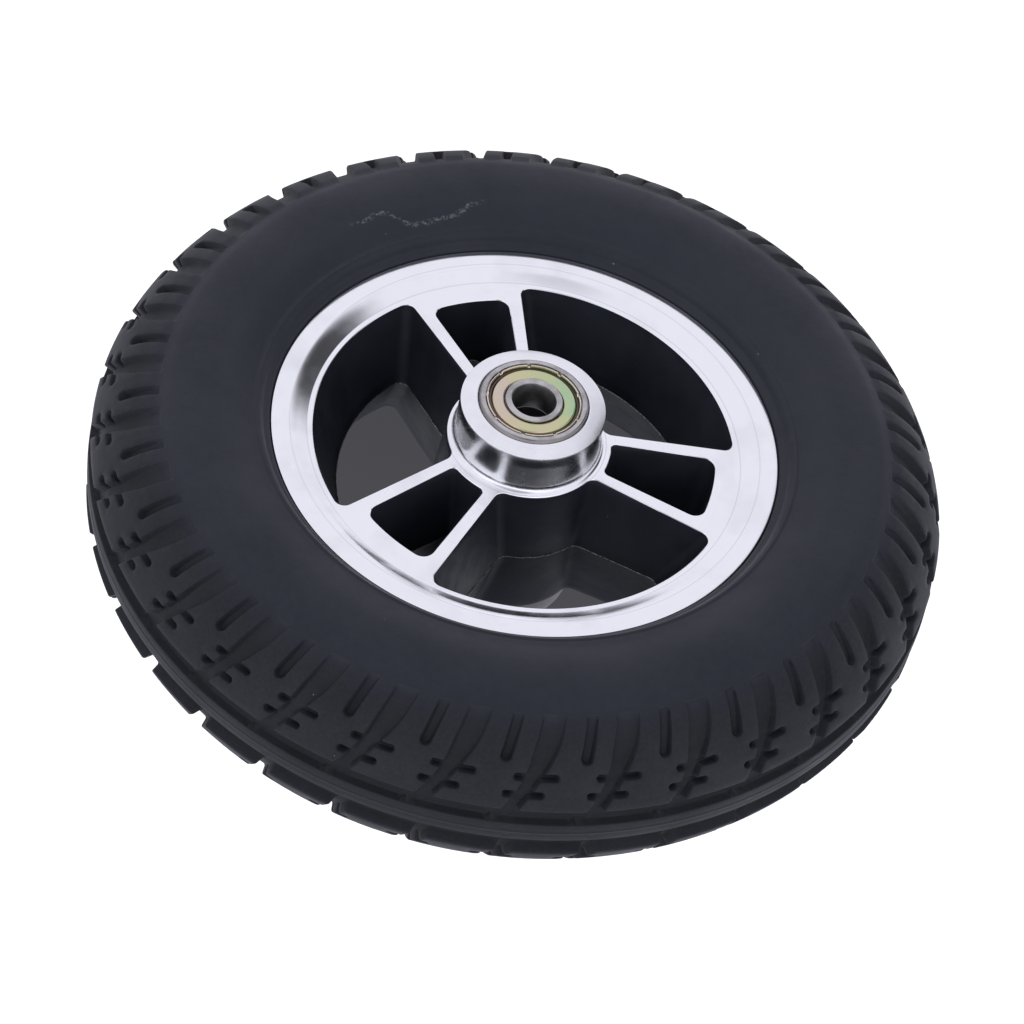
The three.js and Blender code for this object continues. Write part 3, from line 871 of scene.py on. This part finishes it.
def window_walls(shape, window, side):
    """Rows of (x, z, distance from the middle plane), from a window's edge in to its fin."""
    parting = -PARTING * side
    depth = WINDOW_FULL[side] - parting

    def edge(drop, grow):
        outline = window_outline(shape, 1.0, grow)
        for _ in range(3):
            height = face_height(np.hypot(*outline.T), side) - drop
            levels = [window_outline(shape, opening, grow) for opening in (1.0, 1.2)]
            blend = (((height - parting) / depth - 1) / 0.2)[:, None]
            outline = levels[0] + (levels[1] - levels[0]) * blend
        return outline, height

    face, face_top = edge(0.0, EDGE_BREAK)
    rim_edge, edge_top = edge(EDGE_BREAK, 0.0)
    rows = [(face, face_top), (rim_edge, edge_top)]
    for share in (0.97, 0.9, 0.78, 0.64, 0.5, 0.37, 0.25, 0.15, 0.08):
        rows.append((window_outline(shape, share), parting + (edge_top - parting) * share))
    low = window_outline(shape, 0.0)
    rows.append((low, np.full(len(low), parting + 0.12)))
    inward = low - np.array([np.mean(low[:, 0]), 0.0])
    inward /= np.hypot(*inward.T)[:, None]
    fin = flash_fin(np.arctan2(low[:, 1], low[:, 0]), window)[:, None]
    rows.append((low - inward * fin, np.full(len(low), parting + 0.04)))
    rows.append((low - inward * fin, np.full(len(low), parting)))
    return rows


def turned(outline, degrees):
    turn = math.radians(degrees)
    return outline @ np.array([[math.cos(turn), math.sin(turn)], [-math.sin(turn), math.cos(turn)]])


def flat_points(outline, height):
    """Row frame points from (x, z) and height."""
    return np.stack([outline[:, 0], -np.broadcast_to(height, len(outline)), outline[:, 1]],
                    axis=-1) * MM


def rim_sheet(holes):
    """The machined face between the hub and the lip, with the six windows cut out."""
    circles = [sweep_points(radius, 0, FULL_TURN, steps)[:-1]
               for radius, steps in ((SHEET_OUTER, RIM_STEPS), (SHEET_INNER, HUB_STEPS))]
    loops = circles + holes
    lines = [np.concatenate([loop, loop[:1]]) for loop in loops]
    extra = []
    for radius in np.arange(19.5, 49, 1.9):
        for turn in even_turns(int(radius * 3.3)):
            extra.append((radius * math.cos(turn), radius * math.sin(turn)))
    flat, triangles = triangulate(lines, extra)
    middle = flat[np.array(triangles)].mean(axis=1)
    radius = np.hypot(*middle.T)
    solid = (radius < SHEET_OUTER) & (radius > SHEET_INNER)
    for hole in holes:
        solid &= ~inside_outline(middle, hole)
    return flat, [face for face, keep in zip(triangles, solid) if keep]


def inside_outline(points, outline):
    """Which points lie inside a closed outline, by counting crossings."""
    inside = np.zeros(len(points), dtype=bool)
    for (x0, y0), (x1, y1) in zip(outline, np.roll(outline, -1, axis=0)):
        spans = (y0 > points[:, 1]) != (y1 > points[:, 1])
        with np.errstate(divide="ignore", invalid="ignore"):
            crossing = (x1 - x0) * (points[:, 1] - y0) / (y1 - y0) + x0
        inside ^= spans & (points[:, 0] < crossing)
    return inside


def lip_section(side):
    """From the machined face out over the cone, the lip and the flange, in to the middle plane."""
    face = SPOKE_FACE_HEIGHT[side]
    section = [(SHEET_OUTER, float(face_height(SHEET_OUTER, side))), (SPOKE_FACE_RADIUS, face)]
    if side > 0:
        section += [(50.1, face + 0.08), (52.0, 16.55), (CONE_OUTER - 0.12, LIP_HEIGHT - 0.06)]
    else:
        section += [(50.15, face - 0.05), (52.0, face - 1.05), (CONE_OUTER - 0.12, LIP_HEIGHT + 0.05)]
    return section + [
        (CONE_OUTER + 0.2, LIP_HEIGHT), (56.2, LIP_HEIGHT), (LIP_OUTER - 0.3, LIP_HEIGHT),
        (LIP_OUTER - 0.1, LIP_HEIGHT - 0.09), (LIP_OUTER, LIP_HEIGHT - 0.3),
        (LIP_OUTER, LIP_HEIGHT - 2.8), (LIP_OUTER - 0.2, LIP_HEIGHT - 3), (52.6, LIP_HEIGHT - 3),
        (51.4, 14.2), (51.0, 13.5), (50.3, 8.5), (46.4, 4.2), (46.0, 3.6), (46.0, 0.0)]


def hub_section(side):
    """From the machined face in over the hub and the bearing seat to the middle plane."""
    ring = SPOKE_FACE_HEIGHT[side] + HUB_RING_RISE
    section = [(SHEET_INNER, float(face_height(SHEET_INNER, side)))]
    section += arc(HUB_RING, ring + HUB_FILLET, HUB_FILLET, 245, 180, 9)
    return section + [
        (HUB_OUTER, 25.0), (HUB_OUTER, HUB_HALF - 0.35), (HUB_OUTER - 0.1, HUB_HALF - 0.1),
        (HUB_OUTER - 0.35, HUB_HALF), (15.0, HUB_HALF + 0.35), (13.3, HUB_HALF + 0.82),
        (12.95, HUB_HALF + 0.9), (12.78, HUB_HALF + 0.84), (12.74, HUB_HALF + 0.74),
        (12.82, HUB_HALF + 0.66), (BEARING_OUTER + 0.05, HUB_HALF + 0.4),
        (BEARING_OUTER + 0.05, SEAT_FLOOR + 0.2), (BEARING_OUTER - 0.15, SEAT_FLOOR),
        (HUB_BORE + 0.3, SEAT_FLOOR), (HUB_BORE, SEAT_FLOOR - 0.3), (HUB_BORE, 0.0)]


def make_rim():
    shell = Shell()
    for side in (1, -1):
        holes = []
        for number, (shape, degrees) in enumerate(WINDOWS):
            rows = window_walls(shape, number, side)
            holes.append(turned(rows[0][0], degrees))
            placed = [flat_points(turned(outline, degrees), side * height)
                      for outline, height in rows]
            shell.strip(placed[:2], MACHINED)
            shell.strip(placed[1:-2], PAINTED if side > 0 else PAINTED_REAR)
            shell.strip(placed[-3:], BARE)
        flat, triangles = rim_sheet(holes)
        shell.add(flat_points(flat, side * face_height(np.hypot(*flat.T), side)), triangles)
        lip = lathe_rows([(r, side * h) for r, h in lip_section(side)], even_turns(RIM_STEPS))
        hub = lathe_rows([(r, side * h) for r, h in hub_section(side)], even_turns(HUB_STEPS))
        rough_rows = HUB_SIDE_ROWS if side < 0 else 1
        shell.strip(lip, MACHINED)
        shell.strip(hub[:rough_rows], ROUGH_SHADED)
        shell.strip(hub[rough_rows - 1:], MACHINED)
    points, faces, kinds = shell.joined()
    rim = new_piece("rim_casting", points, faces,
                    [machined, paint, rear_paint, bare_cast, rough_turned_shaded], kinds, math.radians(28))
    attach(rim, "wheel")
    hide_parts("rim")


make_rim()


# ------- bearings and spacer

BORE = 5.0
BALL_COUNT = 7
BALL_RADIUS = 2.38
BALL_CIRCLE = 9.0  # radius that the balls' centres run on
RACE_RADIUS = 2.48
INNER_LAND = 7.4  # radius of the inner ring beside its race
INNER_FACE = 6.55  # and past its step
OUTER_LAND = 10.6
OUTER_FACE = 11.12
STEP_HEIGHT = 3.1
SHIELD_INNER = 6.88
NICK_COUNT = 9
NICK_TURN = math.radians(5.5)
NICK_HEIGHT = 3.32
RING_COUNT = 128


def race_angle(land):
    return math.degrees(math.acos(abs(BALL_CIRCLE - land) / RACE_RADIUS))


def outer_ring_section():
    half = BEARING_WIDTH / 2
    mouth = race_angle(OUTER_LAND)
    return mirrored([
        (BEARING_OUTER, 0.0), (BEARING_OUTER, half - 1.3), (BEARING_OUTER - 0.18, half - 1.02),
        (BEARING_OUTER - 0.42, half - 0.66), (12.4, half - 0.3), (12.2, half - 0.08), (12.0, half),
        (OUTER_FACE + 0.12, half), (OUTER_FACE, half - 0.1), (OUTER_FACE, STEP_HEIGHT),
        (OUTER_LAND, STEP_HEIGHT),
        *arc(BALL_CIRCLE, 0, RACE_RADIUS, mouth, 0, 10)])


def inner_ring_section():
    half = BEARING_WIDTH / 2
    mouth = race_angle(INNER_LAND)
    return mirrored([
        (BALL_CIRCLE - RACE_RADIUS, 0.0),
        *arc(BALL_CIRCLE, 0, RACE_RADIUS, 180, 180 - mouth, 10)[1:],
        (INNER_LAND, STEP_HEIGHT), (INNER_FACE, STEP_HEIGHT), (INNER_FACE, half - 0.22),
        (INNER_FACE - 0.06, half - 0.07), (INNER_FACE - 0.2, half), (BORE + 0.42, half),
        (BORE + 0.13, half - 0.13), (BORE, half - 0.42), (BORE, 0.0)])


def shield_piece(name, outward):
    """A pressed shield: a flat washer whose edge is curled up and nicked where it was crimped in."""
    top = [(SHIELD_INNER, 3.42), (SHIELD_INNER + 0.12, 3.55), (SHIELD_INNER + 0.35, 3.6),
           (8.0, 3.63), (9.08, 3.66), (9.26, 3.65), (9.4, 3.57), (9.52, 3.4), (9.63, 3.2),
           (9.8, 3.08), (10.07, 3.05), (10.22, 3.1), (10.32, 3.3), (10.38, 3.62), (10.46, 3.84),
           (10.6, 3.92), (10.76, 3.86), (10.85, 3.66), (10.9, 3.38), (11.0, 3.3)]
    lip_start = 12  # where the curled edge begins
    turns = even_turns(RING_COUNT * 3)
    step = FULL_TURN / NICK_COUNT
    off = np.abs((turns - NICK_TURN + step / 2) % step - step / 2)
    nick = np.clip((math.radians(2.4) - off) / math.radians(0.9), 0, 1)
    rows = []
    for index, (radius, height) in enumerate(top):
        nicked = height + (min(height, NICK_HEIGHT) - height) * nick
        rows.append(place(radius, turns, nicked if index >= lip_start else height))
    rows += lathe_rows([(11.0, 3.13), (10.6, 3.13), (10.5, 2.95), (9.5, 2.95), (9.25, 3.2),
                        (SHIELD_INNER, 3.16)], turns)
    return closed_piece(name, rows + rows[:1], zinc, outward, 40)


def cage_piece(name, outward):
    """One pressed half of a ball cage: a ribbon that bulges over each ball."""
    pocket, sheet, lift, half_width = 2.52, 0.35, 0.04, 0.8
    turns = even_turns(BALL_COUNT * 48)
    step = FULL_TURN / BALL_COUNT
    off = ((turns + step / 2) % step - step / 2) * BALL_CIRCLE

    def bulge(radius, floor):
        return np.maximum(np.sqrt(np.clip(radius ** 2 - off ** 2, 0, None)), floor)

    low, high = bulge(pocket, lift), bulge(pocket + sheet, lift + sheet)
    near, far = BALL_CIRCLE - half_width, BALL_CIRCLE + half_width
    rows = lathe_rows([
        (near, low), (far - 0.1, low), (far, low + 0.1), (far, high - 0.1), (far - 0.1, high),
        (near + 0.1, high), (near, high - 0.1), (near, low)], turns)
    return closed_piece(name, rows, cage_steel, outward)


def ball_piece(name, turn):
    mesh = bpy.data.meshes.new(name)
    maker = bmesh.new()
    bmesh.ops.create_icosphere(maker, subdivisions=4, radius=BALL_RADIUS * MM)
    bmesh.ops.translate(maker, verts=maker.verts, vec=Vector(place(BALL_CIRCLE, turn, 0.0)))
    maker.to_mesh(mesh)
    maker.free()
    mesh.materials.append(ball_steel)
    mesh.shade_smooth()
    return in_scene(name, mesh)


def rivet_piece(name, turn):
    head, shank, low, high = 0.68, 0.35, 0.44, 0.74
    half = [(0.0, high), (0.25, high - 0.03), (0.5, high - 0.12), (head, low + 0.06), (head, low),
            (shank, low), (shank, 0.0)]
    section = half + [(r, -h) for r, h in reversed(half[:-1])]
    centre = place(BALL_CIRCLE, turn, 0.0)
    rows = [row + centre for row in lathe_rows(section, even_turns(24))]
    return closed_piece(name, rows, rivet_steel)


def turn_of(node):
    """The turn of a CAD node's middle."""
    low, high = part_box(node)
    middle = (low + high) / 2
    return math.atan2(middle.z, middle.x)


def shifted(piece, side, body, node):
    """Moves a bearing piece to its end of the hub, hangs it on its body and hides the CAD node it
    stands for.
    """
    mesh = piece.data
    for vertex in mesh.vertices:
        vertex.co.y += -side * BEARING_MIDDLE * MM
    mesh.update()
    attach(piece, body)
    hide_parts(node)


def make_bearing(name, side):
    ring = revolve(f"{name}_outer_ring_ground", outer_ring_section(), ground_steel, RING_COUNT)
    shifted(ring, side, "wheel", f"{name}_outer_ring")
    ring = revolve(f"{name}_inner_ring_ground", inner_ring_section(), ground_steel, RING_COUNT)
    shifted(ring, side, "axle_set", f"{name}_inner_ring")
    train = f"{name}_ball_train"
    for place_name, outward in (("outside", side), ("inside", -side)):
        shield = shield_piece(f"{name}_shield_{place_name}_pressed", outward)
        shifted(shield, side, "wheel", f"{name}_shield_{place_name}")
        cage = cage_piece(f"{name}_cage_{place_name}_pressed", outward)
        shifted(cage, side, train, f"{name}_cage_half_{place_name}")
    for number in range(BALL_COUNT):
        node = f"{name}_ball_{number + 1}"
        shifted(ball_piece(f"{node}_polished", turn_of(node)), side, train, node)
        node = f"{name}_rivet_{number + 1}"
        shifted(rivet_piece(f"{node}_round", turn_of(node)), side, train, node)


def make_spacer():
    length = SEAT_FLOOR - 0.05
    tube = rounded([(SPACER_OUTER, -length), (SPACER_OUTER, length), (BORE + 0.1, length),
                    (BORE + 0.1, -length)], 0.35)
    spacer = revolve("spacer_tube_turned", tube, spacer_steel, 96)
    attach(spacer, "axle_set")
    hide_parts("spacer_tube")


for side_name, side_sign in (("front", 1), ("rear", -1)):
    make_bearing(side_name, side_sign)
make_spacer()


# ------- stage, light and camera

def stage_piece(name, corners, material, seen_by):
    """A flat part of the set, which only the named kinds of ray meet."""
    piece = new_piece(name, corners, [tuple(range(len(corners)))], [material])
    for kind in ("camera", "diffuse", "glossy", "transmission", "shadow"):
        setattr(piece, f"visible_{kind}", kind in seen_by)
    return piece


def make_floor():
    """White paper under a lamp of its own, whose light the wheel keeps off the paper behind it."""
    corners = [(FLOOR_HALF * x, FLOOR_HALF * y, FLOOR_Z)
               for x, y in ((-1, -1), (1, -1), (1, 1), (-1, 1))]
    n = Nodes("floor_paper")
    paper = n.set(Base_Color=grey(PAPER), Roughness=0.9)
    floor = stage_piece("floor", corners, paper, ("camera", "shadow"))
    lit = bpy.data.collections.new("lit_by_paper_lamp")
    lit.objects.link(floor)

    turns = even_turns(64)
    disc = place(WINDOW_FLAG_RADIUS, turns, 0.0)
    stage_piece("window_flag", disc, paper, ("shadow",))

    # the shaded paper, as the rear of the rim mirrors it
    reach = 2 * radius_of("tyre") / math.tan(CAMERA_ELEVATION) * MM
    shade = [(radius_of("tyre") * MM * math.cos(t), reach / 2 * (1 + math.sin(t)), FLOOR_Z + MM)
             for t in turns]
    stage_piece("floor_shade", shade, paper, ("glossy",))

    lamp = bpy.data.lights.new("paper_lamp", "SUN")
    lamp.energy = PAPER_LAMP
    lamp.angle = math.radians(6)
    holder = in_scene("paper_lamp", lamp)
    holder.rotation_euler = (math.radians(90) - CAMERA_ELEVATION, 0, 0)
    holder.light_linking.receiver_collection = lit


def make_world():
    """A white studio: bright along the axle and beyond the wheel, darker round the camera."""
    n = Nodes("studio", bpy.data.worlds, "Background")
    direction = n.add("ShaderNodeTexCoord").outputs["Generated"]
    total = STUDIO_LEVEL
    for towards, inner, outer, gain in STUDIO_PATCHES:
        facing = n.add("ShaderNodeVectorMath", {0: direction, 1: Vector(towards).normalized()},
                       operation="DOT_PRODUCT")
        fade = n.add("ShaderNodeMapRange", {
            "Value": facing.outputs["Value"], "From Min": math.cos(math.radians(outer)),
            "From Max": math.cos(math.radians(inner)), "To Min": 0.0, "To Max": gain},
            interpolation_type="SMOOTHERSTEP")
        total = n.plus(total, fade.outputs["Result"])
    bpy.context.scene.world = n.set(Strength=total, Color=grey(1.0, (0.93, 0.93, 1.04)))


# (direction, degrees at full strength, degrees where it ends, strength), added together
STUDIO_LEVEL = 0.95
STUDIO_PATCHES = (
    ((0, -0.75, 0.66), 8, 26, -0.75),
    ((0, 0.75, 0.66), 12, 38, -0.78),
    ((-0.64, -0.57, -0.50), 10, 22, -0.88),
    ((0, -0.978, 0.203), 4, 12, -0.25),
    ((0.10, 0.03, -0.99), 6, 14, -0.6),
    ((0, 0, 1), 30, 80, 0.35),
)
PAPER = 0.075
PAPER_LAMP = 58.0
FLOOR_HALF = 6.0  # metres
WINDOW_FLAG_RADIUS = 46.5  # of a disc in the rim that only casts a shadow

CAMERA_TARGET = Vector((-0.58, 0.0, 8.0)) * MM
CAMERA_DISTANCE = 896.5 * MM
CAMERA_ELEVATION = math.radians(41.37)
CAMERA_ROLL = math.radians(192.55)
CAMERA_LENS = 137.07


def make_camera():
    lens = bpy.data.cameras.new("camera")
    lens.lens = CAMERA_LENS
    lens.sensor_width = 36.0
    lens.clip_start = 0.01
    lens.clip_end = 50.0
    camera = in_scene("camera", lens)
    back = Vector((0, -math.cos(CAMERA_ELEVATION), math.sin(CAMERA_ELEVATION)))
    turn = Matrix.Rotation(math.radians(90) - CAMERA_ELEVATION, 4, "X")
    camera.matrix_world = (Matrix.Translation(CAMERA_TARGET + back * CAMERA_DISTANCE) @ turn
                           @ Matrix.Rotation(CAMERA_ROLL, 4, "Z"))
    bpy.context.scene.camera = camera


make_floor()
make_world()
make_camera()
bpy.context.scene.view_settings.view_transform = "Standard"
